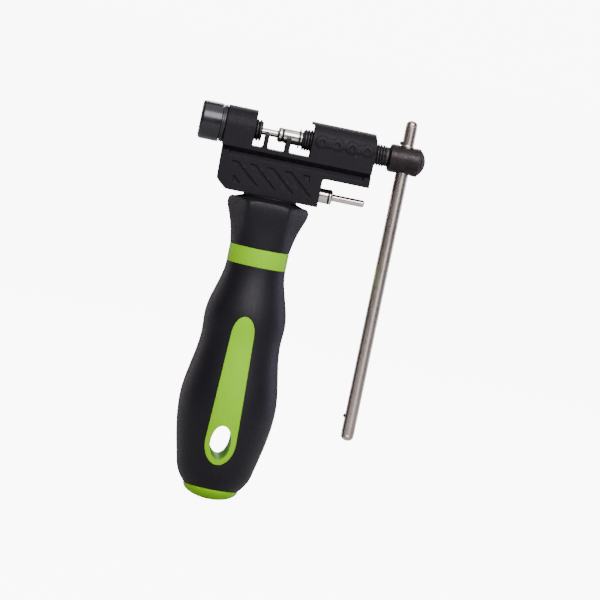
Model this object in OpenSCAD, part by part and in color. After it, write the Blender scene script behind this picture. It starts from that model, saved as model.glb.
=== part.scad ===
// Bicycle chain tool: a cast body on a moulded handle, a drive screw turned by a sliding
// T-bar, a hollow chain stop with a knob, and a spare drive pin stored in the body.
// X runs along the drive axis towards the T-bar, Z is up and the handle hangs down.
// The origin is on the drive axis, at the middle of the first chain wall.

/* [Chain seat] */
// Chain pitch, roller to roller
chain_pitch = 12.7; // [12.5:0.1:12.9]
// Radius of the roller valley in each chain wall
valley_r = 4.0; // [3.9:0.05:4.05]
// Thickness of the first chain wall, under the chain's inner width
wall_t = 1.8; // [1.7:0.1:2.1]
// Thickness of the second chain wall, under the chain's inner width
outer_wall_t = 2.1; // [1.9:0.1:2.1]
// Distance from the first chain wall to the second
wall_pitch = 10; // [9.8:0.1:10.2]
// Depth of the chain floor below the drive axis
floor_drop = 7.4; // [7.2:0.1:7.6]

/* [Body] */
// Half depth of the body, and radius of its round top
body_r = 9; // [8.8:0.1:9.4]
// Length of the left block, which holds the chain stop
left_block_len = 13.7; // [13:0.1:13.8]
// Width of the gap that the chain goes into
chain_gap = 26.6; // [26.5:0.05:27]
// Length of the right block, which holds the drive screw
right_block_len = 29.4; // [28.5:0.05:29.5]
// Depth of the lower body's bottom below the drive axis
body_drop = 28.9; // [28.6:0.1:29.4]
// Length of the lower body, from its left end
lower_len = 47.4; // [47:0.1:48]
// Depth of the slanted recesses in the lower body
recess_depth = 0.6; // [0.3:0.1:0.9]

/* [Screws] */
// Outside diameter of both screw threads
thread_d = 10; // [9.8:0.1:10]
// Running clearance round each screw, on the radius
run_gap = 0.06; // [0.03:0.01:0.09]
// Diameter of the chain stop's knob
knob_d = 17.8; // [17:0.1:18.4]
// Diameter of the drive screw's head
head_d = 13; // [12.6:0.1:13.6]

/* [Drive pin] */
// Diameter of the pin's nose
nose_d = 3.3; // [3.2:0.05:3.35]
// Length of the pin's nose
nose_len = 15; // [14.8:0.1:15.2]
// Diameter of the pin's collar
collar_d = 7; // [6.9:0.05:7.1]

/* [T-bar] */
// Diameter of the bar
bar_d = 6; // [5.8:0.1:6.2]
// Length of the bar
bar_len = 150; // [140:1:160]

/* [Handle] */
// Distance of the handle's axis from the first chain wall
handle_x = 7; // [6.5:0.1:7.5]
// Radius of the bright band between collar and grip
band_r = 13.8; // [13.6:0.1:14]
// Largest radius of the grip
palm_r = 22.46; // [22:0.02:23]
// Width of the oval hang hole
hang_w = 9.3; // [9:0.1:9.6]
// Height of the oval hang hole
hang_h = 16.2; // [15.6:0.1:16.6]

/* [Hidden] */
$fn = 96;
eps = 0.01;

// Colours
cast_black = [0.16, 0.16, 0.17];
gloss_black = [0.1, 0.1, 0.11];
oxide_brown = [0.23, 0.2, 0.2];
bright_steel = [0.8, 0.78, 0.75];
grip_grey = [0.22, 0.22, 0.26];
lime = [0.59, 0.8, 0.23];

// Body stations along X and Z
gap_left_x = -6;
gap_right_x = gap_left_x + chain_gap;
left_x = gap_left_x - left_block_len;
right_x = gap_right_x + right_block_len;
lower_left_x = left_x + 0.9;
lower_right_x = lower_left_x + lower_len;
left_lean = 0.5;
block_base_z = -9.2;
rail_top_z = -11.2;
slope_base_z = -13.2;
rail_base_z = -15.6;
groove_half = 5.2;
rail_half = 7.2;
corner_cut = [1.1, 4];
end_web = 4.4;
web_lean = 1.6;
lip_len = 1.65;
lip_t = 1.35;
fillet_r = 1.2;

// Chain wall teeth, each an arc tangent to the roller valleys on both sides
tooth_top_z = -0.6;
tooth_y = chain_pitch / 2;
tooth_r = (tooth_y * tooth_y - valley_r * valley_r + tooth_top_z * tooth_top_z)
    / (2 * (valley_r + tooth_top_z));
tooth_z = tooth_top_z - tooth_r;
tooth_root_z = tooth_z * valley_r / (valley_r + tooth_r);

// Slanted recesses, evenly spaced between two levels, the outermost two cut short
recess_z = [-25, -15.5];
recess_ends = [-11.7, 22.8];
bar_first_x = -19;
bar_step = 8.25;
bar_w = 3.2;
bar_run = 11.1;

// Row of four rollers and their plates, raised on the right block
emblem_pitch = 7;
emblem_r = 2.9;
emblem_x = gap_right_x + 4.4;
emblem_z = 0.75;
emblem_rise = 0.35;

// Screw stations along X
thread_r = thread_d / 2;
stop_tip_x = -2.6;
ring_x = [left_x - 2.1, left_x - 0.12];
knob_end_x = -31.5;
knob_seam = 0.15;
sleeve_end_x = -28.5;
hub_r = 4.4;
ring_step = [knob_d / 2 - 0.6, knob_d / 2 - 0.25];
stop_bore_r = nose_d / 2 + 0.09;
screw_tip_x = 16.1;
head_x = 56.2;
head_flat_x = 70.3;
head_end_x = 73.3;
bar_x = 63.9;
socket_r = 2.56;

// Drive pin stations, measured back from its tip
collar_r = collar_d / 2;
shank_r = collar_r - 0.1;
grip_groove = [nose_len + 2.1, nose_len + 2.9];
spare_groove = [nose_len + 1.3, nose_len + 2.1];
clip_groove = [nose_len + 9.75, nose_len + 10.35];
shank_end = nose_len + 11.45;
snap_groove = [shank_end + 2.45, shank_end + 3.05];
pin_len = shank_end + 4.75;
groove_r = 2.9;
tail_r = 2.5;
tail_groove_r = 2.1;
pin_tip_x = 4.6 - nose_len;
spare_tip_x = 34.8 + nose_len;
spare_z = -23.4;

// T-bar stations along Z
bar_r = bar_d / 2;
nub_r = 2.7;
bar_top_z = 18.5;
bar_end_z = bar_top_z - bar_len;
dome_h = 2.45;
stop_r = 0.9;
stop_reach = 0.9;
stop_z = [head_d / 2 + stop_r + 0.05, bar_end_z + 11.3];

// Handle stations along Z, as [z, radius, slope] for the curved stretches
washer_r = 12.35;
washer_t = 0.8;
collar_top_z = -body_drop - washer_t;
band_z = [-52.7, -61];
cap_z = -164.6;
cap_r = 12.8;
handle_end_z = -170.4;
core_r = 10.5;
core_neck_r = 9;
tang_r = 4.5;
tang_top_z = -19.5;
tang_end_z = -80;
cap_spigot_r = 6.5;
cap_spigot_z = -157;
collar_rim = [16.8, -33.6, 2.4];
collar_knots = [
    [collar_rim[1], collar_rim[0] + collar_rim[2], 0], [-38, 17.8, 0.42],
    [-43.6, 15.75, 0.3], [band_z[0], band_r + 0.05, 0.13]
];
facet_knots = [[collar_top_z, 15.6, -0.4], [-34, 16.6, 0], [-42, 15, 0.22], [band_z[0], 14, 0.06]];
grip_knots = [
    [band_z[1], band_r, 0], [-86.5, 18.86, 0], [-94.5, 18.5, 0], [-125.5, palm_r, 0],
    [-156, 17.65, 0.22], [cap_z, cap_r, 0.95]
];
strip_top = [5.4, -83.5, 9];
strip_base = [7.25, -152.7, 10.8];
strip_inset = 0.3;
hang_z = -142.3;

// Cubic through two [place, value, slope] knots, at a share t of the way
function hermite(a, b, t) =
    (2 * t ^ 3 - 3 * t ^ 2 + 1) * a[1] + (t ^ 3 - 2 * t ^ 2 + t) * (b[0] - a[0]) * a[2]
    + (3 * t ^ 2 - 2 * t ^ 3) * b[1] + (t ^ 3 - t ^ 2) * (b[0] - a[0]) * b[2];

// Points [value, place] along a run of knots, with n steps between neighbours
function curve(knots, n) = [
    for (i = [0 : len(knots) - 2], j = [0 : n])
        if (j < n || i == len(knots) - 2)
            [hermite(knots[i], knots[i + 1], j / n),
             knots[i][0] + (knots[i + 1][0] - knots[i][0]) * j / n]
];

// Points of an arc from angle a0 to a1
function arc(x, y, r, a0, a1, n = 8) =
    [for (i = [0 : n]) let (a = a0 + (a1 - a0) * i / n) [x + r * cos(a), y + r * sin(a)]];

// Extrude a [Y, Z] section along X
module along_x(x0, x1) {
    translate([x0, 0, 0]) rotate([90, 0, 90]) linear_extrude(x1 - x0) children();
}

// Extrude an [X, Z] outline to both sides of the middle plane
module along_y(half) {
    rotate([90, 0, 0]) linear_extrude(2 * half, center = true) children();
}

// Cylinder along X
module rod_x(x0, x1, r) {
    translate([x0, 0, 0]) rotate([0, 90, 0]) cylinder(h = x1 - x0, r = r);
}

// Turn a [radius, X] profile about the drive axis
module turned_x() {
    rotate([0, 90, 0]) rotate_extrude() children();
}

// Turn a [radius, Z] profile about the handle's axis
module turned_handle() {
    translate([handle_x, 0, 0]) rotate_extrude() children();
}

// Rectangle from one corner to the other
module block_2d(x0, z0, x1, z1) {
    translate([x0, z0]) square([x1 - x0, z1 - z0]);
}

// Concave fillet that fills the corner at the origin towards +X and +Z
module fillet_2d(r) {
    difference() {
        translate([-eps, -eps]) square(r + eps);
        translate([r, r]) circle(r);
    }
}

// Points of half an oval, from angle a0 to a0 + 180
function half_oval(z, half_w, half_h, a0, n = 16) =
    [for (i = [0 : n]) let (a = a0 + 180 * i / n) [half_w * cos(a), z + half_h * sin(a)]];

// Body outline seen from the front, without the chain walls
module body_outline() {
    block_2d(left_x, block_base_z, gap_left_x, body_r);
    polygon([
        [gap_right_x, block_base_z], [right_x, block_base_z], [right_x, body_r - corner_cut[1]],
        [right_x - corner_cut[0], body_r], [gap_right_x, body_r]
    ]);
    block_2d(gap_right_x - lip_len, body_r - lip_t, gap_right_x + eps, body_r);
    translate([gap_right_x, body_r - lip_t]) rotate(180) fillet_2d(lip_len * 0.6);
    block_2d(gap_left_x - eps, block_base_z, gap_right_x + eps, -floor_drop);
    block_2d(lower_left_x, rail_base_z, right_x, block_base_z + eps);
    translate([lower_right_x, rail_base_z]) mirror([0, 1]) fillet_2d(fillet_r);
    lower_outline();
}

// Lower body with its leaning left end and cut corner
module lower_outline() {
    polygon([
        [lower_left_x - left_lean, block_base_z + eps], [lower_left_x, 4 - body_drop],
        [lower_left_x + 3.9, 0.5 - body_drop], [lower_left_x + 4.7, 0.13 - body_drop],
        [lower_left_x + 5.7, -body_drop], [lower_right_x, -body_drop],
        [lower_right_x, block_base_z + eps]
    ]);
}

// Body section across the drive axis: round top, undercut groove, lower body
module body_section() {
    circle(body_r);
    block_2d(-body_r, block_base_z, body_r, 0);
    block_2d(-groove_half, rail_top_z - eps, groove_half, block_base_z + eps);
    block_2d(-body_r, -body_drop, body_r, rail_top_z);
}

// Slope that lightens the top of the rail between its end webs, which lean inwards
module rail_slopes() {
    x0 = lower_left_x + end_web;
    x1 = right_x - end_web;
    for (side = [0, 1]) intersection() {
        along_x(x0 - web_lean - 1, x1 + web_lean + 1) mirror([side, 0]) polygon([
            [rail_half, rail_top_z + eps], [body_r + 1, rail_top_z + eps],
            [body_r + 1, slope_base_z], [body_r, slope_base_z], [rail_half, rail_top_z]
        ]);
        mirror([0, side, 0]) translate([0, 0, rail_base_z])
            linear_extrude(block_base_z - rail_base_z) polygon([
                [x0, groove_half - 1], [x1, groove_half - 1], [x1, groove_half],
                [x1 + web_lean, body_r + 1], [x0 - web_lean, body_r + 1], [x0, groove_half]
            ]);
    }
}

// One chain wall: two teeth with a roller valley between them, filleted on the given sides
module chain_wall(x, thick, fillets) {
    intersection() {
        along_x(x - 5, x + 5) difference() {
            union() {
                block_2d(-body_r, block_base_z + eps, body_r, tooth_root_z);
                for (side = [-1, 1]) intersection() {
                    translate([side * tooth_y, tooth_z]) circle(tooth_r);
                    block_2d(-body_r, -floor_drop, body_r, 0);
                }
            }
            for (i = [-1 : 1]) translate([i * chain_pitch, 0]) circle(valley_r);
        }
        along_y(body_r + 1) {
            block_2d(x - thick / 2, block_base_z, x + thick / 2, 0);
            for (side = fillets) translate([x, -floor_drop]) mirror([side, 0])
                translate([thick / 2, 0]) fillet_2d(fillet_r);
        }
    }
}

// Slanted recess with its top right corner at a place along X
module recess_bar(x) {
    polygon([
        [x - bar_w, recess_z[1]], [x, recess_z[1]],
        [x + bar_run, recess_z[0]], [x + bar_run - bar_w, recess_z[0]]
    ]);
}

// Row of slanted recesses
module recess_bars() {
    last = 5;
    for (i = [1 : last - 1]) recess_bar(bar_first_x + i * bar_step);
    intersection() {
        recess_bar(bar_first_x);
        block_2d(recess_ends[0], recess_z[0], 0, recess_z[1]);
    }
    intersection() {
        recess_bar(bar_first_x + last * bar_step);
        block_2d(0, recess_z[0], recess_ends[1], recess_z[1]);
    }
}

// Plate joining two neighbouring rollers of the emblem
module emblem_plate(waist) {
    circle(emblem_r);
    translate([emblem_pitch, 0]) circle(emblem_r);
    block_2d(0, -waist, emblem_pitch, waist);
}

// Row of chain plates, raised on the front of the right block
module emblem() {
    intersection() {
        along_x(gap_right_x, right_x) difference() {
            circle(body_r + emblem_rise);
            block_2d(1 - body_r, -body_r, 2 * body_r, 2 * body_r);
        }
        along_y(2 * body_r) translate([emblem_x, emblem_z]) difference() {
            union() {
                for (i = [0, 2]) translate([i * emblem_pitch, 0]) emblem_plate(1.9);
                translate([emblem_pitch, 0]) emblem_plate(1.2);
            }
            for (i = [0 : 3]) translate([i * emblem_pitch, 0]) circle(1.1);
        }
    }
}

module tool_body() {
    color(cast_black) difference() {
        union() {
            intersection() {
                along_x(left_x - 1, right_x + 1) body_section();
                along_y(body_r + 1) body_outline();
            }
            chain_wall(0, wall_t, [0, 1]);
            chain_wall(wall_pitch, outer_wall_t, [0]);
            emblem();
        }
        rail_slopes();
        rod_x(left_x - 1, gap_left_x + 1, thread_r + run_gap);
        rod_x(gap_right_x - 1, right_x + 1, thread_r + run_gap);
        for (side = [-1, 1]) translate([0, side * body_r, 0])
            along_y(recess_depth) recess_bars();
        translate([0, 0, spare_z])
            rod_x(spare_tip_x - pin_len - 0.3, lower_right_x + 1, shank_r + run_gap);
        translate([handle_x, 0, -body_drop - 1])
            cylinder(h = tang_top_z + body_drop + 1, r = tang_r);
    }
}

module neck_washer() {
    color(gloss_black) turned_handle()
        block_2d(tang_r, collar_top_z, washer_r, -body_drop);
}

module handle_tang() {
    color(bright_steel) turned_handle() polygon([
        [0, tang_top_z], [tang_r - 0.6, tang_top_z], [tang_r, tang_top_z - 0.6],
        [tang_r, tang_end_z + 1], [tang_r - 1, tang_end_z], [0, tang_end_z]
    ]);
}

// Strip seen from the front, narrow at the top and wide round the hang hole
module strip_outline() {
    polygon(concat(
        half_oval(strip_top[1] - strip_top[2], strip_top[0], strip_top[2], 0),
        half_oval(strip_base[1] + strip_base[2], strip_base[0], strip_base[2], 180)
    ));
}

// Oval hang hole seen from the front
module hang_outline() {
    upper = half_oval(hang_z, hang_w / 2, hang_h / 2, 0, 24);
    lower = half_oval(hang_z, hang_w / 2, hang_h / 2, 180, 24);
    polygon(concat([for (i = [0 : 23]) upper[i]], [for (i = [0 : 23]) lower[i]]));
}

// Grip's turned form, shrunk by inset
module grip_form(inset) {
    turned_handle() polygon(concat(
        [[0, band_z[1]]],
        [for (p = curve(grip_knots, 8)) [p.x - inset, p.y]],
        [[0, cap_z]]
    ));
}

module handle_core() {
    color(lime) difference() {
        union() {
            turned_handle() polygon([
                [0, collar_top_z], [core_neck_r, collar_top_z], [core_neck_r, band_z[0]],
                [band_r, band_z[0]], [band_r, band_z[1]], [core_r, band_z[1]],
                [core_r, cap_z], [0, cap_z]
            ]);
            intersection() {
                translate([handle_x, 0, 0]) along_y(palm_r) strip_outline();
                grip_form(strip_inset);
            }
        }
        translate([handle_x, 0, tang_end_z + 1])
            cylinder(h = -tang_end_z, r = tang_r);
        translate([handle_x, 0, tang_end_z])
            cylinder(h = 1 + eps, r1 = tang_r - 1, r2 = tang_r);
        translate([handle_x, 0, cap_z - 1])
            cylinder(h = cap_spigot_z - cap_z + 1, r = cap_spigot_r);
        translate([handle_x, 0, 0]) along_y(palm_r + 1) hang_outline();
    }
}

module handle_end_cap() {
    color(lime) turned_handle() polygon(concat(
        [[0, cap_spigot_z], [cap_spigot_r, cap_spigot_z], [cap_spigot_r, cap_z]],
        [for (a = [0 : 6 : 90]) [cap_r * cos(a), cap_z + (handle_end_z - cap_z) * sin(a)]]
    ));
}

// Collar's turned form, from its flat top round the rim to the band
module collar_form() {
    turned_handle() polygon(concat(
        [[core_neck_r, band_z[0]], [core_neck_r, collar_top_z], [washer_r - 0.35, collar_top_z]],
        arc(collar_rim[0], collar_rim[1], collar_rim[2], 100, 12),
        curve(collar_knots, 6)
    ));
}

// Slab with hollow sides that cuts two opposite facets
module facet_slab() {
    side = curve(facet_knots, 6);
    rotate([90, 0, 90]) linear_extrude(60, center = true)
        polygon(concat(side, [for (i = [len(side) - 1 : -1 : 0]) [-side[i].x, side[i].y]]));
}

module grip_collar() {
    color(grip_grey) intersection() {
        collar_form();
        intersection_for(turn = [0, 60, 120])
            translate([handle_x, 0, 0]) rotate([0, 0, turn]) facet_slab();
    }
}

module grip_sleeve() {
    color(grip_grey) difference() {
        grip_form(0);
        translate([handle_x, 0, cap_z - 1]) cylinder(h = band_z[1] - cap_z + 2, r = core_r);
        translate([handle_x, 0, 0]) along_y(palm_r + 1) strip_outline();
    }
}

module adjuster_friction_ring() {
    color(grip_grey) turned_x() polygon(concat(
        [[thread_r + run_gap, ring_x[1]], [thread_r + run_gap, ring_x[0]]],
        [[ring_step[0], ring_x[0]], [ring_step[0], ring_x[0] + 0.85]],
        arc(ring_step[1] - 0.2, ring_x[0] + 1.05, 0.2, -90, 0, 4),
        arc(ring_step[1] - 0.6, ring_x[1] - 0.6, 0.6, 0, 90, 4)
    ));
}

module adjuster_screw() {
    shoulder_x = ring_x[0] - knob_seam;
    color(gloss_black) turned_x() polygon([
        [stop_bore_r, sleeve_end_x], [hub_r, sleeve_end_x], [hub_r, shoulder_x],
        [thread_r, shoulder_x], [thread_r, stop_tip_x - 0.5], [thread_r - 0.5, stop_tip_x],
        [stop_bore_r + 0.4, stop_tip_x], [stop_bore_r, stop_tip_x - 0.4]
    ]);
}

module adjuster_knob() {
    knob_r = knob_d / 2;
    face_x = ring_x[0] - knob_seam;
    color(gloss_black) turned_x() polygon(concat(
        [[hub_r, face_x], [hub_r, sleeve_end_x], [2.2, sleeve_end_x], [2.2, knob_end_x]],
        arc(knob_r - 1.5, knob_end_x + 1.5, 1.5, -90, 0),
        [[knob_r, face_x - 0.3], [knob_r - 0.3, face_x]]
    ));
}

// Pin at the origin with its ring's groove, its tip at X = 0 and its tail towards +X
module pin_solid(ring_groove) {
    nose_r = nose_d / 2;
    tip_round = 0.9;
    turned_x() polygon(concat(
        [[0, 0]],
        arc(nose_r - tip_round, tip_round, tip_round, -90, 0),
        [[nose_r, nose_len]],
        arc(collar_r - 1.2, nose_len + 1.2, 1.2, -90, 0),
        [
            [collar_r, ring_groove[0]], [groove_r, ring_groove[0]], [groove_r, ring_groove[1]],
            [shank_r, ring_groove[1]], [shank_r, clip_groove[0]], [groove_r, clip_groove[0]],
            [groove_r, clip_groove[1]], [shank_r, clip_groove[1]], [shank_r, shank_end],
            [tail_r, shank_end], [tail_r, snap_groove[0]], [tail_groove_r, snap_groove[0]],
            [tail_groove_r, snap_groove[1]], [tail_r, snap_groove[1]],
            [tail_r, pin_len - 0.5], [tail_r - 0.5, pin_len], [0, pin_len]
        ]
    ));
}

// Ring in one of the pin's grooves
module groove_ring(groove, inner, outer) {
    turned_x() block_2d(inner, groove[0], outer, groove[1]);
}

// Open ring in one of the pin's grooves, with its gap at the back
module split_ring(groove, inner, outer) {
    difference() {
        groove_ring(groove, inner, outer);
        translate([groove[0] - 1, 0, -0.6]) cube([3, 2 * outer, 1.2]);
    }
}

// Move a pin piece to the spare pin's place, with its nose towards +X
module at_spare() {
    translate([spare_tip_x, 0, spare_z]) mirror([1, 0, 0]) children();
}

module drive_pin() {
    color(bright_steel) translate([pin_tip_x, 0, 0]) pin_solid(grip_groove);
}

module drive_pin_grip_ring() {
    color(oxide_brown) translate([pin_tip_x, 0, 0])
        groove_ring(grip_groove, groove_r, collar_r - 0.25);
}

module drive_pin_circlip() {
    color(gloss_black) translate([pin_tip_x, 0, 0]) split_ring(clip_groove, groove_r, 4.55);
}

module socket_snap_ring() {
    color(bright_steel) translate([pin_tip_x, 0, 0]) split_ring(snap_groove, tail_groove_r, 2.95);
}

module spare_pin() {
    color(bright_steel) at_spare() pin_solid(spare_groove);
}

module spare_pin_grip_ring() {
    color(oxide_brown) at_spare() groove_ring(spare_groove, groove_r, collar_r + 0.15);
}

// Cut for the pin's tail, with the groove that its snap ring turns in
module tail_socket() {
    rod_x(screw_tip_x - 1, pin_tip_x + pin_len + 0.1, socket_r);
    rod_x(pin_tip_x + snap_groove[0] - 0.1, pin_tip_x + snap_groove[1] + 0.1, 3.02);
}

module drive_screw() {
    head_r = head_d / 2;
    dome_r = (head_r ^ 2 + (head_end_x - head_flat_x) ^ 2) / (2 * (head_end_x - head_flat_x));
    dome_angle = asin(head_r / dome_r);
    color(oxide_brown) difference() {
        turned_x() polygon(concat(
            [
                [0, screw_tip_x], [4.1, screw_tip_x], [thread_r, screw_tip_x + 0.9],
                [thread_r, head_x - 1.5], [4.6, head_x - 1.2], [4.6, head_x],
                [head_r - 2.1, head_x]
            ],
            [for (a = [75 : -15 : 0]) [head_r - 2.1 + 2.1 * cos(a), head_x + 1.3 * (1 - sin(a))]],
            arc(0, head_end_x - dome_r, dome_r, 90 - dome_angle, 90, 10)
        ));
        tail_socket();
        translate([bar_x, 0, -head_d]) cylinder(h = 2 * head_d, r = bar_r + run_gap);
        for (side = [0, 1]) mirror([0, 0, side]) translate([bar_x, 0, head_r - 0.7])
            cylinder(h = 1.4, r1 = bar_r + run_gap, r2 = bar_r + 1.4);
    }
}

// Bar end: a dome past a fine groove, with its tip at h = 0 and the bar towards -h
function bar_end(r, z, dir) = [
    [0, z], for (a = [75 : -15 : 0]) [r * cos(a), z - dir * dome_h * (1 - sin(a))],
    [r - 0.15, z - dir * dome_h], [r - 0.15, z - dir * (dome_h + 0.35)],
    [r, z - dir * (dome_h + 0.35)]
];

module t_bar() {
    top = bar_end(nub_r, bar_top_z, 1);
    base = bar_end(bar_r, bar_end_z, -1);
    shoulder_z = head_d / 2 + 0.1;
    color(bright_steel) difference() {
        translate([bar_x, 0, 0]) rotate_extrude() polygon(concat(
            top, [[nub_r, shoulder_z + 0.6], [bar_r, shoulder_z]],
            [for (i = [len(base) - 1 : -1 : 0]) base[i]]
        ));
        for (z = stop_z) translate([0, 0, z]) rod_x(bar_x - 2 * bar_r, bar_x - 1, stop_r);
    }
}

// Domed stop pin pressed into the side of the bar
module bar_stop(z) {
    tip = bar_x - bar_r - stop_reach;
    color(gloss_black) translate([0, 0, z]) turned_x() polygon([
        [0, bar_x - 1], [stop_r, bar_x - 1],
        for (a = [0 : 15 : 90]) [stop_r * cos(a), tip + stop_r * (1 - sin(a))]
    ]);
}

module bar_stop_upper() {
    bar_stop(stop_z[0]);
}

module bar_stop_lower() {
    bar_stop(stop_z[1]);
}

tool_body();
neck_washer();
handle_tang();
handle_core();
handle_end_cap();
grip_collar();
grip_sleeve();
adjuster_friction_ring();
adjuster_screw();
adjuster_knob();
drive_pin();
drive_pin_grip_ring();
drive_pin_circlip();
socket_snap_ring();
drive_screw();
t_bar();
bar_stop_upper();
bar_stop_lower();
spare_pin();
spare_pin_grip_ring();
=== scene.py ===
"""Chain tool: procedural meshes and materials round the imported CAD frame."""
from math import asin, cos, pi, radians, sin

import bmesh
import bpy
from mathutils import Matrix, Vector


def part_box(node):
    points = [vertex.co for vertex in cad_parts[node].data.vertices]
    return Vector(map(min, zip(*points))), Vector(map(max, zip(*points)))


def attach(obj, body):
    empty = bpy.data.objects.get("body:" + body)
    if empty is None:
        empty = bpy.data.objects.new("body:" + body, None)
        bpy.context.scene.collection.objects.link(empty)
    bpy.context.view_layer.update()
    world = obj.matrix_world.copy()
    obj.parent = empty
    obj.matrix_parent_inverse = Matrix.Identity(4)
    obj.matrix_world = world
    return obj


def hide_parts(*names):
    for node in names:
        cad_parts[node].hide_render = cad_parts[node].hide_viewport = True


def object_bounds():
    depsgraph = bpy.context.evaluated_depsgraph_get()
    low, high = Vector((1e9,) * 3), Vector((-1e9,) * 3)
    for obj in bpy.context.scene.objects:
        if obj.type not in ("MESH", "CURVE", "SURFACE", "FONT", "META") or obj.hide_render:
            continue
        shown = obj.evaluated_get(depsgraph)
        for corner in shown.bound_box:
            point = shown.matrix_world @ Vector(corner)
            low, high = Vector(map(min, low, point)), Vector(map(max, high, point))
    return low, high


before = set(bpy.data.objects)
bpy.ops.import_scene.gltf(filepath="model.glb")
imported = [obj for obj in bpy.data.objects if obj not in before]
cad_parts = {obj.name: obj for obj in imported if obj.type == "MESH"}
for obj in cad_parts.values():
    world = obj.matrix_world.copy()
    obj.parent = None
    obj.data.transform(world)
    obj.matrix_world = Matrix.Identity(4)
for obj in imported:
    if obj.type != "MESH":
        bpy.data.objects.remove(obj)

CAD_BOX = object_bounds()
MM = 0.001


# ---------------------------------------------------------------- places from the frame

def node_box(node):
    """Lowest and highest corner of a CAD node, in millimetres."""
    low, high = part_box(node)
    return Vector(low) / MM, Vector(high) / MM


SLEEVE_LOW, SLEEVE_HIGH = node_box("grip_sleeve")
COLLAR_LOW, COLLAR_HIGH = node_box("grip_collar")
CAP_LOW, CAP_HIGH = node_box("handle_end_cap")
SCREW_LOW, SCREW_HIGH = node_box("drive_screw")
STOP_LOW, STOP_HIGH = node_box("adjuster_screw")
KNOB_LOW, KNOB_HIGH = node_box("adjuster_knob")
RING_LOW, RING_HIGH = node_box("adjuster_friction_ring")
BAR_LOW, BAR_HIGH = node_box("t_bar")
SPARE_LOW, SPARE_HIGH = node_box("spare_pin")

PIN_TIP_X = node_box("drive_pin")[0].x
HANDLE_X = (COLLAR_LOW.x + COLLAR_HIGH.x) / 2
BAR_X = (BAR_LOW.x + BAR_HIGH.x) / 2
SPARE_Z = (SPARE_LOW.z + SPARE_HIGH.z) / 2
BAND_TOP = COLLAR_LOW.z
BAND_BASE = SLEEVE_HIGH.z
CAP_SEAM = SLEEVE_LOW.z
THREAD_R = STOP_HIGH.z

# Pitch and depth of each thread, and where each pin's ring groove starts behind its tip
STOP_PITCH, STOP_DEPTH = 1.5, 0.8
SCREW_PITCH, SCREW_DEPTH = 1.25, 0.7
DRIVE_RING, SPARE_RING = 17.1, 16.3

# A hair off the axis, where turned profiles close
HAIR = 0.0001

# Cutters through the handle reach this far each side of its middle
CUT_HALF = 30

# Brightness of the floor and the surround as the camera sees them
PAPER = 9.0


# ---------------------------------------------------------------- mesh helpers

def new_piece(name, verts, faces, body, replaces=()):
    """Mesh object from points in millimetres, riding on a body."""
    mesh = bpy.data.meshes.new(name)
    mesh.from_pydata([tuple(c * MM for c in v) for v in verts], [], faces)
    mesh.update()
    piece = bpy.data.objects.new(name, mesh)
    bpy.context.scene.collection.objects.link(piece)
    tidy_mesh(mesh)
    if body:
        register(piece, body, replaces)
    return piece


def register(piece, body, replaces=()):
    """Hang a piece on the body it rides on and hide the CAD nodes it stands for."""
    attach(piece, body)
    if replaces:
        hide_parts(*replaces)


def tidy_mesh(mesh):
    """Merge doubled points, face outwards and shade smooth."""
    bm = bmesh.new()
    bm.from_mesh(mesh)
    bmesh.ops.remove_doubles(bm, verts=bm.verts, dist=2e-6)
    bmesh.ops.dissolve_degenerate(bm, edges=bm.edges, dist=1e-6)
    bmesh.ops.recalc_face_normals(bm, faces=bm.faces)
    for face in bm.faces:
        face.smooth = True
    bm.to_mesh(mesh)
    bm.free()


def shade_smooth(piece):
    """Shade every face of a piece smooth."""
    for polygon in piece.data.polygons:
        polygon.use_smooth = True


def arc(cx, cy, r, start, end, n=6):
    """Points of an arc between two angles in degrees."""
    turns = [radians(start + (end - start) * i / n) for i in range(n + 1)]
    return [(cx + r * cos(t), cy + r * sin(t)) for t in turns]


def hermite(a, b, t):
    """Cubic between two (place, value, slope) knots, a share t of the way."""
    h = b[0] - a[0]
    return ((2 * t**3 - 3 * t**2 + 1) * a[1] + (t**3 - 2 * t**2 + t) * h * a[2]
            + (3 * t**2 - 2 * t**3) * b[1] + (t**3 - t**2) * h * b[2])


def follow(knots, z):
    """Value at a place along a run of knots with falling places."""
    for a, b in zip(knots, knots[1:]):
        if z >= b[0]:
            return hermite(a, b, min(1.0, max(0.0, (z - a[0]) / (b[0] - a[0]))))
    return knots[-1][1]


def turned(name, profile, body, axis="X", centre=(0, 0, 0), segments=96, replaces=()):
    """Solid of revolution from a closed run of (radius, place) points."""
    verts, faces = [], []
    for i in range(segments):
        t = 2 * pi * i / segments
        for r, a in profile:
            p = (a, r * cos(t), r * sin(t)) if axis == "X" else (r * cos(t), r * sin(t), a)
            verts.append(tuple(p[k] + centre[k] for k in range(3)))
    n = len(profile)
    for i in range(segments):
        j = (i + 1) % segments
        for k in range(n):
            m = (k + 1) % n
            faces.append((i * n + k, i * n + m, j * n + m, j * n + k))
    return new_piece(name, verts, faces, body, replaces)


def prism_y(name, outline, half):
    """Closed prism through Y from an (x, z) outline."""
    n = len(outline)
    verts = [(x, -half, z) for x, z in outline] + [(x, half, z) for x, z in outline]
    faces = [tuple(range(n)), tuple(range(2 * n - 1, n - 1, -1))]
    faces += [(i, i + n, (i + 1) % n + n, (i + 1) % n) for i in range(n)]
    return new_piece(name, verts, faces, None)


def combine(piece, cutter, operation):
    """Boolean a cutter into a piece, and remove the cutter."""
    mod = piece.modifiers.new("combine", "BOOLEAN")
    mod.object = cutter
    mod.operation = operation
    mod.solver = "EXACT"
    apply_modifiers(piece)
    bpy.data.objects.remove(cutter)


def apply_modifiers(piece):
    """Replace a piece's mesh with its evaluated mesh."""
    bpy.context.view_layer.update()
    graph = bpy.context.evaluated_depsgraph_get()
    mesh = bpy.data.meshes.new_from_object(piece.evaluated_get(graph))
    piece.modifiers.clear()
    piece.data = mesh


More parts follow.
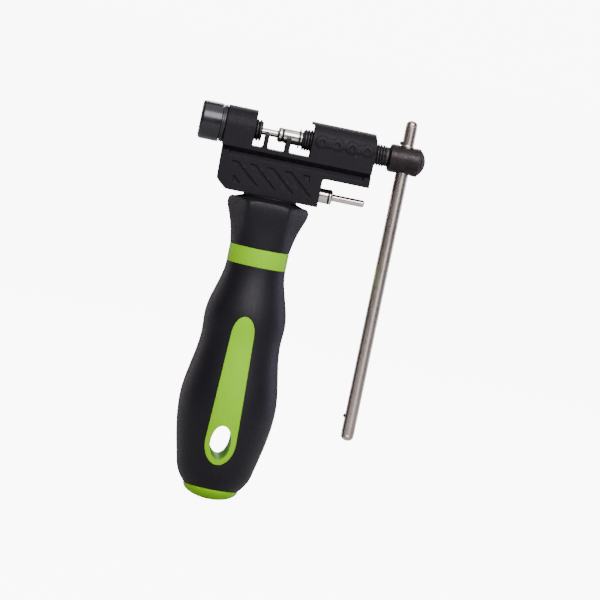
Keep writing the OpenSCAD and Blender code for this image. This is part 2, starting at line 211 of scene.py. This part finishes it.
def bevel(piece, width, segments=2, angle=32):
    """Round the sharp edges of a piece and weight its normals."""
    mod = piece.modifiers.new("edge", "BEVEL")
    mod.width = width * MM
    mod.segments = segments
    mod.limit_method = "ANGLE"
    mod.angle_limit = radians(angle)
    mod.miter_outer = "MITER_ARC"
    weigh_normals(piece)


def weigh_normals(piece):
    """Shade flat stretches flat beside rounded edges."""
    mod = piece.modifiers.new("normals", "WEIGHTED_NORMAL")
    mod.keep_sharp = True
    mod.weight = 50


def soften_copy(node, name, body, voxel, rounds, most):
    """Copy of a CAD node with cast-soft edges, as a closed even mesh of at most so many faces."""
    piece = bpy.data.objects.new(name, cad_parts[node].data.copy())
    bpy.context.scene.collection.objects.link(piece)
    piece.data.materials.clear()
    remesh = piece.modifiers.new("even", "REMESH")
    remesh.mode = "VOXEL"
    remesh.voxel_size = voxel * MM
    smooth = piece.modifiers.new("soften", "SMOOTH")
    smooth.factor = 0.5
    smooth.iterations = rounds
    apply_modifiers(piece)
    thin = piece.modifiers.new("thin", "DECIMATE")
    thin.ratio = min(1.0, most / (2 * len(piece.data.polygons)))
    apply_modifiers(piece)
    shade_smooth(piece)
    register(piece, body, [node])
    return piece


def smooth_node(node, name):
    """Keep a CAD node as it is, shade it smooth and give it a material."""
    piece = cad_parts[node]
    shade_smooth(piece)
    weld = piece.modifiers.new("weld", "WELD")
    weld.merge_threshold = 2e-6
    bevel(piece, 0.08, 2, 35)
    paint_node(node, name)


def threaded(name, x0, x1, pitch, depth, rest, body, replaces=()):
    """Right-hand thread from x0 to x1, closed by the rest of its (radius, x) profile."""
    shape = [(0.0, 0.0), (0.07, 0.0), (0.14, 0.12), (0.32, 0.92), (0.36, 1.0), (0.73, 1.0),
             (0.77, 0.92), (0.95, 0.12)]
    segments, per_turn = 96, len(shape)
    minor = THREAD_R - depth
    rows = [(turn + f, h) for turn in range(-1, int((x1 - x0) / pitch) + 3) for f, h in shape]
    ends = [(minor, x1)] + rest + [(minor, x0)]
    n, m = len(rows), len(ends)
    verts, faces = [], []
    for j in range(segments):
        t = 2 * pi * j / segments
        for f, h in rows:
            x = min(x1, max(x0, x0 + (f + j / segments) * pitch))
            fade = max(0.0, min(1.0, (x - x0) / (0.15 * pitch), (x1 - x) / (0.15 * pitch)))
            r = minor + depth * h * fade
            verts.append((x, r * cos(t), r * sin(t)))
        verts += [(x, r * cos(t), r * sin(t)) for r, x in ends]
    for j in range(segments):
        last = j == segments - 1
        here, there = j * (n + m), 0 if last else (j + 1) * (n + m)
        step = per_turn if last else 0
        for k in range(n - 1 - step):
            faces.append((here + k, here + k + 1, there + k + 1 + step, there + k + step))
        for k in range(n, n + m - 1):
            faces.append((here + k, here + k + 1, there + k + 1, there + k))
    return new_piece(name, verts, faces, body, replaces)


# ---------------------------------------------------------------- material helpers

class Graph:
    """Short names for the nodes of one material."""

    def __init__(self, name):
        self.mat = bpy.data.materials.new(name)
        self.mat.use_nodes = True
        self.tree = self.mat.node_tree
        self.tree.nodes.clear()
        self.out = self.tree.nodes.new("ShaderNodeOutputMaterial")
        self.bsdf = self.tree.nodes.new("ShaderNodeBsdfPrincipled")
        self.link(self.bsdf.outputs[0], self.out.inputs["Surface"])
        self.place = self.tree.nodes.new("ShaderNodeTexCoord").outputs["Object"]

    def link(self, a, b):
        self.tree.links.new(a, b)

    def put(self, socket, value):
        """Set a socket to a number or a colour, or link it."""
        if isinstance(value, bpy.types.NodeSocket):
            self.link(value, socket)
        elif isinstance(value, (tuple, list)) and len(value) == 3 and socket.type == "RGBA":
            socket.default_value = (*value, 1)
        else:
            socket.default_value = value

    def set(self, **values):
        """Set the shader's own sockets; an underscore stands for a space."""
        for name, value in values.items():
            self.put(self.bsdf.inputs[name.replace("_", " ")], value)

    def stretch(self, scale, place=None):
        """Texture place scaled along each axis, in cells a metre."""
        node = self.tree.nodes.new("ShaderNodeMapping")
        node.inputs["Scale"].default_value = scale
        self.link(place or self.place, node.inputs["Vector"])
        return node.outputs[0]

    def noise(self, scale, detail=3, rough=0.5, place=None, distortion=0.0):
        node = self.tree.nodes.new("ShaderNodeTexNoise")
        self.put(node.inputs["Scale"], scale)
        self.put(node.inputs["Detail"], detail)
        self.put(node.inputs["Roughness"], rough)
        self.put(node.inputs["Distortion"], distortion)
        self.link(place or self.place, node.inputs["Vector"])
        return node.outputs["Fac"]

    def cells(self, scale, place=None):
        node = self.tree.nodes.new("ShaderNodeTexVoronoi")
        self.put(node.inputs["Scale"], scale)
        self.link(place or self.place, node.inputs["Vector"])
        return node.outputs["Distance"]

    def ramp(self, value, *stops):
        """Grey level through (place, level) stops."""
        node = self.tree.nodes.new("ShaderNodeValToRGB")
        ramp = node.color_ramp
        while len(ramp.elements) < len(stops):
            ramp.elements.new(0.5)
        for element, (place, level) in zip(ramp.elements, stops):
            element.position = place
            colour = level if isinstance(level, tuple) else (level, level, level)
            element.color = (*colour, 1)
        self.link(value, node.inputs[0])
        return node.outputs[0]

    def math(self, operation, a, b=0.0):
        node = self.tree.nodes.new("ShaderNodeMath")
        node.operation = operation
        self.put(node.inputs[0], a)
        self.put(node.inputs[1], b)
        return node.outputs[0]

    def mix(self, share, a, b, blend="MIX"):
        node = self.tree.nodes.new("ShaderNodeMix")
        node.data_type = "RGBA"
        node.blend_type = blend
        self.put(node.inputs["Factor"], share)
        self.put(node.inputs[6], a)
        self.put(node.inputs[7], b)
        return node.outputs[2]

    def bump(self, height, distance, strength=1.0, normal=None):
        node = self.tree.nodes.new("ShaderNodeBump")
        self.put(node.inputs["Height"], height)
        node.inputs["Distance"].default_value = distance * MM
        node.inputs["Strength"].default_value = strength
        if normal:
            self.link(normal, node.inputs["Normal"])
        return node.outputs[0]

    def edges(self, low=0.52, high=0.62):
        """1 on worn outer edges, 0 elsewhere."""
        node = self.tree.nodes.new("ShaderNodeNewGeometry")
        return self.ramp(node.outputs["Pointiness"], (low, 0.0), (high, 1.0))


def cast_black():
    """Matt black oxide over a fine cast skin, rubbed a little at the edges."""
    g = Graph("cast_black_oxide")
    speck = g.noise(3200, 2, 0.6)
    cloud = g.noise(90, 4, 0.6)
    grain = g.noise(1100, 3, 0.6)
    base = g.mix(g.ramp(cloud, (0.3, 0.0), (0.7, 1.0)), (0.0040, 0.0034, 0.0046), (0.0060, 0.0051, 0.0069))
    base = g.mix(g.ramp(speck, (0.62, 0.0), (0.72, 0.7)), base, (0.016, 0.014, 0.0175))
    worn = g.math("MULTIPLY", g.edges(0.53, 0.66), g.ramp(g.noise(260, 4, 0.7), (0.4, 0.0), (0.7, 0.7)))
    g.set(Base_Color=g.mix(worn, base, (0.045, 0.041, 0.046)))
    g.set(Roughness=g.ramp(grain, (0.3, 0.52), (0.7, 0.68)))
    g.set(Specular_IOR_Level=0.24, Specular_Tint=(0.93, 0.85, 1.0))
    skin = g.bump(grain, 0.05, 0.55)
    g.set(Normal=g.bump(speck, 0.02, 0.5, skin))
    return g.mat


def gloss_black():
    """Glossy black knob with faint turning marks and hairline scratches."""
    g = Graph("knob_gloss_black")
    lines = g.noise(1.0, 3, 0.6, g.stretch((3600, 60, 60)))
    smear = g.noise(120, 4, 0.6)
    patches = g.ramp(smear, (0.35, 0.0), (0.7, 1.0))
    g.set(Base_Color=g.mix(patches, (0.0034, 0.0031, 0.0042), (0.0072, 0.0066, 0.0084)))
    g.set(Roughness=g.ramp(smear, (0.3, 0.22), (0.7, 0.34)), Coat_Weight=0.35, Coat_Roughness=0.2)
    g.set(Specular_Tint=(0.9, 0.88, 1.0), Coat_Tint=(0.94, 0.93, 1.0))
    g.set(Normal=g.bump(lines, 0.012, 0.5))
    return g.mat


def thread_black():
    """Black oxide on steel threads, brighter where the crests rub."""
    g = Graph("thread_black_oxide")
    grime = g.noise(420, 4, 0.65)
    base = g.mix(g.ramp(grime, (0.35, 0.0), (0.7, 1.0)), (0.012, 0.0108, 0.0135), (0.027, 0.0245, 0.029))
    rubbed = g.math("MULTIPLY", g.edges(0.5, 0.62), g.ramp(g.noise(150, 3, 0.6), (0.35, 0.1), (0.7, 0.8)))
    g.set(Base_Color=g.mix(rubbed, base, (0.12, 0.11, 0.115)), Metallic=0.6)
    g.set(Roughness=g.ramp(grime, (0.3, 0.34), (0.7, 0.52)), Specular_IOR_Level=0.35)
    g.set(Normal=g.bump(grime, 0.02, 0.4))
    return g.mat


def head_oxide():
    """Brown-black oxide on the T-head, scuffed by hands."""
    g = Graph("head_brown_oxide")
    cloud = g.noise(170, 4, 0.62)
    scuff = g.noise(1.0, 5, 0.75, g.stretch((420, 900, 900)), 1.2)
    fine = g.noise(1800, 2, 0.6)
    base = g.mix(g.ramp(cloud, (0.3, 0.0), (0.72, 1.0)), (0.0145, 0.0108, 0.0134), (0.033, 0.0255, 0.0285))
    g.set(Base_Color=g.mix(g.ramp(scuff, (0.58, 0.0), (0.7, 0.7)), base, (0.135, 0.108, 0.118)))
    g.set(Metallic=0.8, Roughness=g.ramp(scuff, (0.35, 0.5), (0.7, 0.34)))
    g.set(Normal=g.bump(fine, 0.012, 0.5, g.bump(scuff, 0.02, 0.4)))
    return g.mat


def bright_steel(name, colour, low, high, along):
    """Turned bright steel with fine rings along its axis."""
    g = Graph(name)
    rings = g.noise(1.0, 2, 0.6, g.stretch(along))
    cloud = g.noise(300, 4, 0.6)
    dull = tuple(c * 0.72 for c in colour)
    g.set(Base_Color=g.mix(g.ramp(cloud, (0.35, 0.0), (0.75, 0.8)), colour, dull), Metallic=1.0)
    g.set(Roughness=g.ramp(cloud, (0.3, low), (0.7, high)))
    g.set(Normal=g.bump(rings, 0.01, 0.35))
    return g.mat


def bar_nickel():
    """Nickel-plated bar: drawn grain with small pits and dull patches."""
    g = Graph("bar_brushed_nickel")
    grain = g.noise(1.0, 4, 0.7, g.stretch((2600, 2600, 240)))
    weave = g.noise(1.0, 3, 0.6, g.stretch((1500, 1500, 1900)), 0.6)
    cloud = g.noise(160, 4, 0.6)
    base = g.mix(g.ramp(cloud, (0.3, 0.0), (0.75, 1.0)), (0.62, 0.535, 0.485), (0.47, 0.40, 0.36))
    g.set(Base_Color=g.mix(g.ramp(weave, (0.5, 0.0), (0.66, 0.35)), base, (0.31, 0.265, 0.24)))
    g.set(Metallic=1.0, Roughness=g.ramp(grain, (0.3, 0.22), (0.7, 0.38)))
    g.set(Normal=g.bump(grain, 0.012, 0.5))
    return g.mat


def lime_plastic():
    """Satin lime moulding with a fine moulded skin."""
    g = Graph("lime_plastic")
    cloud = g.noise(60, 3, 0.5)
    skin = g.noise(2600, 2, 0.5)
    base = g.mix(g.ramp(cloud, (0.3, 0.0), (0.7, 1.0)), (0.235, 0.58, 0.0), (0.265, 0.63, 0.0))
    grubby = g.ramp(g.noise(420, 4, 0.7), (0.6, 0.0), (0.75, 0.25))
    g.set(Base_Color=g.mix(grubby, base, (0.17, 0.44, 0.0)))
    g.set(Roughness=g.ramp(cloud, (0.3, 0.42), (0.7, 0.52)), Specular_IOR_Level=0.14)
    g.set(Normal=g.bump(skin, 0.012, 0.4))
    return g.mat


def grip_rubber():
    """Soft-touch charcoal rubber with a violet cast and a fine pebble."""
    g = Graph("grip_soft_touch")
    pebble = g.cells(2300)
    cloud = g.noise(45, 4, 0.6)
    dust = g.noise(900, 4, 0.7)
    base = g.mix(g.ramp(cloud, (0.3, 0.0), (0.7, 1.0)), (0.0034, 0.0030, 0.0050), (0.0052, 0.0046, 0.0078))
    g.set(Base_Color=g.mix(g.ramp(dust, (0.6, 0.0), (0.78, 0.4)), base, (0.016, 0.0152, 0.021)))
    g.set(Roughness=g.ramp(dust, (0.3, 0.46), (0.7, 0.6)))
    g.set(Specular_IOR_Level=0.33, Specular_Tint=(0.93, 0.89, 1.0))
    g.set(Normal=g.bump(pebble, 0.03, 0.35))
    return g.mat


def seal_rubber():
    """Plain black rubber with a slight bloom."""
    g = Graph("seal_rubber")
    bloom = g.noise(500, 4, 0.6)
    patches = g.ramp(bloom, (0.4, 0.0), (0.75, 0.6))
    g.set(Base_Color=g.mix(patches, (0.010, 0.0095, 0.0115), (0.02, 0.019, 0.022)))
    g.set(Roughness=g.ramp(bloom, (0.3, 0.26), (0.7, 0.42)))
    g.set(Normal=g.bump(bloom, 0.02, 0.4))
    return g.mat


MATERIALS = {
    "cast": cast_black(), "knob": gloss_black(), "thread": thread_black(), "head": head_oxide(),
    "pin": bright_steel("pin_bright_steel", (0.80, 0.73, 0.69), 0.13, 0.22, (3800, 80, 80)),
    "nickel": bar_nickel(), "lime": lime_plastic(), "grip": grip_rubber(), "seal": seal_rubber(),
}


def paint(piece, *names):
    """Give a piece its materials."""
    slots = piece.data.materials
    slots.clear()
    for name in names:
        slots.append(MATERIALS[name])


def paint_node(node, name):
    """Give a kept CAD node a material through its object's own slots."""
    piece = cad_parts[node]
    for slot in piece.material_slots:
        slot.link = "OBJECT"
        slot.material = MATERIALS[name]


# ---------------------------------------------------------------- head of the tool

def build_body():
    """Cast body with soft edges, and the plain pieces under it."""
    body = soften_copy("tool_body", "cast_tool_body", "root",
                       voxel=0.2, rounds=1, most=170000)
    paint(body, "cast")
    smooth_node("neck_washer", "cast")
    paint_node("handle_tang", "pin")


def build_stop():
    """Hollow threaded stop, its knob and the stepped friction ring."""
    face, tip, tail = KNOB_HIGH.x, STOP_HIGH.x, STOP_LOW.x
    bore, hub = 1.74, 4.3
    sleeve = threaded("stop_threaded_sleeve", face + 0.4, tip - 0.15, STOP_PITCH, STOP_DEPTH, [
        (THREAD_R - STOP_DEPTH - 0.15, tip), (bore + 0.4, tip), (bore, tip - 0.4),
        (bore, tail + 0.1), (hub, tail + 0.1), (hub, face + 0.4)
    ], "chain_stop", ["adjuster_screw"])
    paint(sleeve, "thread")
    r, end = KNOB_HIGH.z, KNOB_LOW.x
    knob = turned("stop_knob", (
        [(4.4, face), (4.4, tail + 0.2), (2.2, tail), (2.2, end + 0.9)]
        + arc(2.2 + 0.5, end + 0.9, 0.5, 180, 270, 3)
        + [(3.4, end + 0.35)] + arc(r - 2.4, end + 0.6, 0.5, 200, 270, 3)
        + arc(r - 1.5, end + 1.5, 1.5, -90, 0, 8) + arc(r - 0.15, face - 0.15, 0.15, 0, 90, 3)
    ), "chain_stop", segments=128, replaces=["adjuster_knob"])
    paint(knob, "knob")
    inner, outer, half, bore = RING_LOW.x, RING_HIGH.x, RING_HIGH.z, THREAD_R + 0.06
    ring = turned("friction_ring", (
        [(bore, inner)] + arc(half - 0.35, inner + 0.1, 0.1, -90, 0, 3)
        + arc(half - 0.35, inner + 0.7, 0.1, 0, 40, 2)
        + arc(half - 0.2, inner + 1.0, 0.2, -90, 0, 4) + arc(half - 0.6, outer - 0.6, 0.6, 0, 90, 6)
        + [(bore, outer)]
    ), "stop_carriage", replaces=["adjuster_friction_ring"])
    paint(ring, "seal")
    weigh_normals(knob)
    weigh_normals(ring)


def pin_profile(tip, sign, ring):
    """Drive pin with its ring's groove, from its tip back, as (radius, x) points."""
    nose, collar, shank, groove, tail, neck = 1.65, 3.5, 3.4, 2.9, 2.5, 2.1
    nose_end, clip, shank_end, snap, length = 15.0, (24.75, 25.35), 26.45, (28.9, 29.5), 31.2
    run = [(HAIR, 0), (0.55, 0.0)] + arc(nose - 0.95, 0.95, 0.95, -80, 0, 5)
    run += [(nose, nose_end - 0.25), (nose + 0.08, nose_end - 0.08), (nose + 0.3, nose_end)]
    run += arc(collar - 1.2, nose_end + 1.2, 1.2, -90, 0, 6)
    run += [(collar, ring - 0.06), (collar - 0.06, ring), (groove, ring), (groove, ring + 0.8)]
    run += [(shank - 0.1, ring + 0.8), (shank, ring + 0.9)]
    run += [(shank, clip[0] - 0.1), (shank - 0.1, clip[0]), (groove, clip[0]), (groove, clip[1])]
    run += [(shank - 0.1, clip[1]), (shank, clip[1] + 0.1), (shank, shank_end - 0.15)]
    run += [(shank - 0.15, shank_end), (tail, shank_end), (tail, snap[0]), (neck, snap[0])]
    run += [(neck, snap[1]), (tail, snap[1]), (tail, length - 0.5), (tail - 0.5, length), (HAIR, length)]
    return [(r, tip + sign * x) for r, x in run]


def build_pins():
    """Both drive pins with their rings, and the two open rings."""
    drive = turned("drive_pin_bright", pin_profile(PIN_TIP_X, 1, DRIVE_RING),
                   "pin_carriage", replaces=["drive_pin"])
    spare = turned("spare_pin_bright", pin_profile(SPARE_HIGH.x, -1, SPARE_RING),
                   "spare_pin", centre=(0, 0, SPARE_Z), replaces=["spare_pin"])
    for pin in (drive, spare):
        paint(pin, "pin")
        weigh_normals(pin)
    for name, body, x, r, z, material in (
        ("drive_pin", "pin_carriage", PIN_TIP_X + DRIVE_RING + 0.4, 2.9, 0, "head"),
        ("spare_pin", "spare_pin", SPARE_HIGH.x - SPARE_RING - 0.4, 3.25, SPARE_Z, "seal"),
    ):
        ring = turned(name + "_ring", arc(r, x, 0.35, 0, 330, 11), body,
                      centre=(0, 0, z), replaces=[name + "_grip_ring"])
        paint(ring, material)
    smooth_node("drive_pin_circlip", "thread")
    smooth_node("socket_snap_ring", "pin")


def build_screw():
    """Threaded spindle and its cross-drilled head with the domed end."""
    x0, x1 = SCREW_LOW.x, SCREW_HIGH.x
    minor = THREAD_R - SCREW_DEPTH
    head0, neck0, r, socket, neck = 56.2, 54.7, SCREW_HIGH.z, 2.56, 4.5
    spindle = threaded("screw_spindle", x0 + 0.15, neck0, SCREW_PITCH, SCREW_DEPTH, [
        (neck, neck0 + 0.1), (neck, head0 + 0.3), (HAIR, head0 + 0.3), (HAIR, x0 + 6),
        (socket, x0 + 6), (socket, x0), (minor - 0.3, x0)
    ], "drive_screw", ["drive_screw"])
    paint(spindle, "thread")
    flat = 70.35
    dome_r = ((r - 0.35) ** 2 + (x1 - flat) ** 2) / (2 * (x1 - flat))
    spread = asin((r - 0.35) / dome_r) * 180 / pi
    shoulder = [(r - 2.1 + 2.1 * cos(radians(a)), head0 + 1.3 * (1 - sin(radians(a))))
                for a in range(85, -1, -10)]
    head = turned("screw_t_head", (
        [(HAIR, head0)] + shoulder
        + [(r, flat - 0.5)] + arc(r - 0.35, flat - 0.2, 0.35, 0, 60, 4)
        + arc(0, x1 - dome_r, dome_r, 90 - spread + 1.5, 90, 12)[:-1] + [(HAIR, x1)]
    ), None, segments=128)
    bore, flare, mouth, rounding, wide, far = 3.06, 1.35, 6.55, 1.45, 5.9, 9.0
    lip = [(bore + flare * (1 - sin(radians(a))), mouth - rounding * (1 - cos(radians(a))))
           for a in (90, 68, 45, 22, 0)]
    hole = turned("bar_hole", (
        [(HAIR, -far), (wide, -far)] + [(radius, -z) for radius, z in reversed(lip)]
        + lip + [(wide, far), (HAIR, far)]
    ), None, axis="Z", centre=(BAR_X, 0, 0), segments=64)
    combine(head, hole, "DIFFERENCE")
    shade_smooth(head)
    register(head, "drive_screw")
    paint(head, "head")
    bevel(head, 0.12, 2, 40)


def build_bar():
    """Sliding T-bar with its nub, domes and the two stops."""
    low, high, r, nub, dome = BAR_LOW.z, BAR_HIGH.z, BAR_HIGH.x - BAR_X, 2.7, 2.45
    shoulder = SCREW_HIGH.z + 0.1

    def end(radius, z, way):
        """Dome, then a fine groove, from the tip inwards."""
        run = [(HAIR, z)]
        run += [(radius * cos(radians(a)), z - way * dome * (1 - sin(radians(a))))
                for a in range(78, -1, -13)]
        run += [(radius - 0.16, z - way * (dome + 0.1)), (radius - 0.16, z - way * (dome + 0.3))]
        return run + [(radius, z - way * (dome + 0.42))]

    profile = end(nub, high, 1) + [(nub, shoulder + 0.75), (r - 0.1, shoulder + 0.1), (r, shoulder - 0.1)]
    profile += list(reversed(end(r, low, -1)))
    bar = turned("t_bar_nickel", profile, "t_bar", axis="Z",
                 centre=(BAR_X, 0, 0), replaces=["t_bar"])
    paint(bar, "nickel")
    weigh_normals(bar)
    for node in ("bar_stop_upper", "bar_stop_lower"):
        box_low, box_high = node_box(node)
        z, half = (box_low.z + box_high.z) / 2, (box_high.z - box_low.z) / 2
        tip = box_low.x
        profile = [(HAIR, BAR_X - 1.2), (half, BAR_X - 1.2)]
        profile += [(half * cos(radians(a)), tip + half * (1 - sin(radians(a)))) for a in range(0, 91, 15)]
        profile[-1] = (HAIR, tip)
        stop = turned(node + "_ball", profile, "t_bar",
                      centre=(0, 0, z), segments=32, replaces=[node])
        paint(stop, "thread")


# ---------------------------------------------------------------- handle

GRIP_KNOTS = [(BAND_BASE, 13.8, 0), (-86.5, 18.86, 0), (-94.5, 18.5, 0),
              (-125.5, SLEEVE_HIGH.x - HANDLE_X, 0), (-156, 17.65, 0.22), (CAP_SEAM, 12.8, 0.95)]
COLLAR_RIM = (-33.6, COLLAR_HIGH.x - HANDLE_X, 0)
COLLAR_KNOTS = [COLLAR_RIM, (-38, 17.8, 0.42), (-43.6, 15.75, 0.3), (BAND_TOP, 13.85, 0.13)]
FACET_KNOTS = [(COLLAR_HIGH.z, 15.7, -0.3), (-33.8, COLLAR_HIGH.y, 0), (-42, 15.0, 0.22),
               (BAND_TOP, 14.1, 0.06)]

# Half width, end and end height of the strip's two ends; the hang hole's half sizes and middle
STRIP_TOP, STRIP_BASE = (5.4, -83.5, 9.0), (7.25, -152.7, 10.8)
HANG = (4.65, 8.1, -142.3)
ROD_R, SLEEVE_BORE_R, BAND_R = 10.4, 10.5, 13.8


def build_collar():
    """Six-sided collar whose facets fade into the round band."""
    top = COLLAR_HIGH.z
    rim_r, rim_z, rim_round = COLLAR_RIM[1] - 2.4, COLLAR_RIM[0], 2.4
    stations = [(9.0, top), (12.0, top)] + arc(rim_r, rim_z, rim_round, 100, 0, 10)
    steps = 26
    for i in range(1, steps + 1):
        z = rim_z + (BAND_TOP - rim_z) * i / steps
        stations.append((follow(COLLAR_KNOTS, z), z))
    last_r = stations[-1][0]
    stations += [(last_r - 0.25, BAND_TOP), (9.0, BAND_TOP)]
    stations[-3] = (last_r, BAND_TOP + 0.25)
    segments, verts, faces = 180, [], []
    sharpness = 40
    for j in range(segments):
        t = 2 * pi * j / segments
        off = (t + pi / 2 + pi / 6) % (pi / 3) - pi / 6
        for r, z in stations:
            facet = follow(FACET_KNOTS, z) / cos(off)
            soft = r if r < 12.5 and z > rim_z else (r**-sharpness + facet**-sharpness) ** (-1 / sharpness)
            verts.append((HANDLE_X + soft * cos(t), soft * sin(t), z))
    n = len(stations)
    for j in range(segments):
        m = (j + 1) % segments
        for k in range(n):
            faces.append((j * n + k, j * n + (k + 1) % n, m * n + (k + 1) % n, m * n + k))
    collar = new_piece("grip_collar_rubber", verts, faces, "root", ["grip_collar"])
    paint(collar, "grip")


def oval(z, half_w, half_h, start, end, n=28):
    """Points of an oval on the handle's axis, between two angles in degrees."""
    turns = [radians(start + (end - start) * i / n) for i in range(n + 1)]
    return [(HANDLE_X + half_w * cos(t), z + half_h * sin(t)) for t in turns]


def strip_outline(grow=0.0):
    """Long strip seen from the front, as (x, z) points."""
    (w0, top, h0), (w1, base, h1) = STRIP_TOP, STRIP_BASE
    return (oval(top - h0, w0 + grow, h0 + grow, 0, 180)
            + oval(base + h1, w1 + grow, h1 + grow, 180, 360))


def hang_outline(grow=0.0):
    """Hang hole seen from the front, as (x, z) points."""
    return oval(HANG[2], HANG[0] + grow, HANG[1] + grow, 0, 360, 72)[:-1]


def grip_form(name, inset, segments=128, rows=150):
    """Grip's turned form as a closed solid, shrunk by inset."""
    run = [(HAIR, BAND_BASE)]
    for i in range(rows + 1):
        z = BAND_BASE + (CAP_SEAM - BAND_BASE) * i / rows
        run.append((follow(GRIP_KNOTS, z) - inset, z))
    run.append((HAIR, CAP_SEAM))
    return turned(name, run, None, axis="Z", centre=(HANDLE_X, 0, 0), segments=segments)


def build_sleeve():
    """Rubber grip, open inside and along both strips."""
    sleeve = grip_form("grip_sleeve_rubber", 0)
    top, base = -50, -180
    bore = turned("sleeve_bore", [(HAIR, top), (SLEEVE_BORE_R, top), (SLEEVE_BORE_R, base), (HAIR, base)],
                  None, axis="Z", centre=(HANDLE_X, 0, 0))
    combine(sleeve, bore, "DIFFERENCE")
    combine(sleeve, prism_y("strip_cut", strip_outline(), CUT_HALF), "DIFFERENCE")
    shade_smooth(sleeve)
    register(sleeve, "root", ["grip_sleeve"])
    paint(sleeve, "grip")
    bevel(sleeve, 0.3, 3, 40)


def build_core():
    """Green moulding: the strips with the hang hole, the rod between them, the band and the cap."""
    strip = grip_form("core_strip_lime", 0.3)
    combine(strip, prism_y("strip_keep", strip_outline(-0.12), CUT_HALF), "INTERSECT")
    combine(strip, prism_y("hang_cut", hang_outline(), CUT_HALF), "DIFFERENCE")
    shade_smooth(strip)
    register(strip, "root", ["handle_core"])
    paint(strip, "lime")
    bevel(strip, 0.7, 4, 40)
    rod = turned("core_rod_lime", (
        [(HAIR, BAND_BASE), (ROD_R, BAND_BASE), (ROD_R, CAP_SEAM), (HAIR, CAP_SEAM)]
    ), "root", axis="Z", centre=(HANDLE_X, 0, 0))
    combine(rod, prism_y("rod_cut", hang_outline(0.2), CUT_HALF), "DIFFERENCE")
    paint(rod, "lime")
    band = turned("core_band_lime", (
        [(9.0, BAND_TOP)] + arc(BAND_R - 0.3, BAND_TOP - 0.3, 0.3, 90, 0, 4)
        + arc(BAND_R - 0.3, BAND_BASE + 0.3, 0.3, 0, -90, 4) + [(9.0, BAND_BASE)]
    ), "root", axis="Z", centre=(HANDLE_X, 0, 0), segments=128)
    paint(band, "lime")
    r, depth = CAP_HIGH.x - HANDLE_X, CAP_SEAM - CAP_LOW.z
    dome = [(r * cos(radians(a)), CAP_SEAM - depth * sin(radians(a))) for a in range(6, 88, 6)]
    cap = turned("end_cap_lime", (
        [(HAIR, CAP_SEAM), (r - 0.3, CAP_SEAM), (r - 0.02, CAP_SEAM - 0.25)] + dome
        + [(HAIR, CAP_LOW.z)]
    ), "root", axis="Z", centre=(HANDLE_X, 0, 0), segments=128,
        replaces=["handle_end_cap"])
    paint(cap, "lime")


# ---------------------------------------------------------------- studio

def seen_or_lit(tree, seen, lit):
    """Strength that is one number where the camera looks and another where it lights."""
    path = tree.nodes.new("ShaderNodeLightPath")
    mix = tree.nodes.new("ShaderNodeMix")
    mix.inputs[2].default_value = lit
    mix.inputs[3].default_value = seen
    tree.links.new(path.outputs["Is Camera Ray"], mix.inputs[0])
    return mix.outputs[0]


def build_studio():
    """Pale floor, pale surround, soft lamps and the camera."""
    floor_z = CAD_BOX[0][2] / MM - 0.3
    bpy.ops.mesh.primitive_circle_add(vertices=96, radius=40, fill_type="NGON",
                                      location=(0, 0, floor_z * MM))
    floor = bpy.context.object
    floor.name = "studio_floor"
    g = Graph("studio_floor")
    tone = g.noise(2.0, 2, 0.4)
    g.set(Base_Color=g.mix(g.ramp(tone, (0.3, 0.0), (0.7, 1.0)), (0.5, 0.5, 0.5), (0.52, 0.52, 0.52)))
    g.set(Roughness=0.9, Emission_Color=(1, 1, 1), Emission_Strength=seen_or_lit(g.tree, PAPER, 0.0))
    floor.data.materials.append(g.mat)

    world = bpy.data.worlds.new("studio_world")
    bpy.context.scene.world = world
    world.use_nodes = True
    back = world.node_tree.nodes["Background"]
    back.inputs["Color"].default_value = (1.0, 1.0, 1.0, 1)
    world.node_tree.links.new(seen_or_lit(world.node_tree, PAPER + 0.3, 0.14), back.inputs["Strength"])

    centre = Vector((25, 0, -75))
    lamp("key_softbox", centre, (90, -720, 620), 760, 520, 12, (1, 0.985, 0.97))
    lamp("front_card", centre, (380, -920, -40), 520, 1000, 3.2, (1, 0.985, 0.985))
    lamp("top_card", centre, (20, -120, 860), 700, 800, 2.2, (0.97, 0.97, 1))
    lamp("rim_right", centre, (750, 400, 60), 300, 1000, 3.2, (0.80, 0.76, 1))
    lamp("rim_left", centre, (-640, 560, 40), 200, 1000, 2.2, (1, 0.88, 0.93))
    lamp("back_fill", centre, (60, 860, 520), 600, 500, 6, (0.97, 0.98, 1))
    build_camera()


def lamp(name, centre, offset, width, height, power, colour):
    """Rectangular soft lamp that faces a point from an offset; sizes in millimetres."""
    data = bpy.data.lights.new(name, "AREA")
    data.shape = "RECTANGLE"
    data.size, data.size_y = width * MM, height * MM
    data.energy = power
    data.color = colour
    light = bpy.data.objects.new(name, data)
    bpy.context.scene.collection.objects.link(light)
    light.location = (centre + Vector(offset)) * MM
    light.rotation_euler = (-Vector(offset)).to_track_quat("-Z", "Y").to_euler()


def build_camera():
    """Long lens at the photograph's angle: a little left, a little above, rolled."""
    target = Vector((29.97, 0, -72.32))
    distance, across = 2000, 275
    yaw, rise, roll = radians(2.3), radians(3.5), radians(11.75)
    away = Vector((-sin(yaw) * cos(rise), -cos(yaw) * cos(rise), sin(rise)))
    level = (-away).cross(Vector((0, 0, 1))).normalized()
    above = level.cross(-away).normalized()
    right = level * cos(roll) + above * sin(roll)
    up = above * cos(roll) - level * sin(roll)
    data = bpy.data.cameras.new("camera")
    data.sensor_width = 36
    data.lens = 36 * distance / across
    data.clip_end = 200
    camera = bpy.data.objects.new("camera", data)
    turn = Matrix((right, up, away)).transposed().to_4x4()
    camera.matrix_world = Matrix.Translation((target + away * distance) * MM) @ turn
    bpy.context.scene.collection.objects.link(camera)
    bpy.context.scene.camera = camera


build_studio()
build_body()
build_stop()
build_pins()
build_screw()
build_bar()
build_collar()
build_sleeve()
build_core()
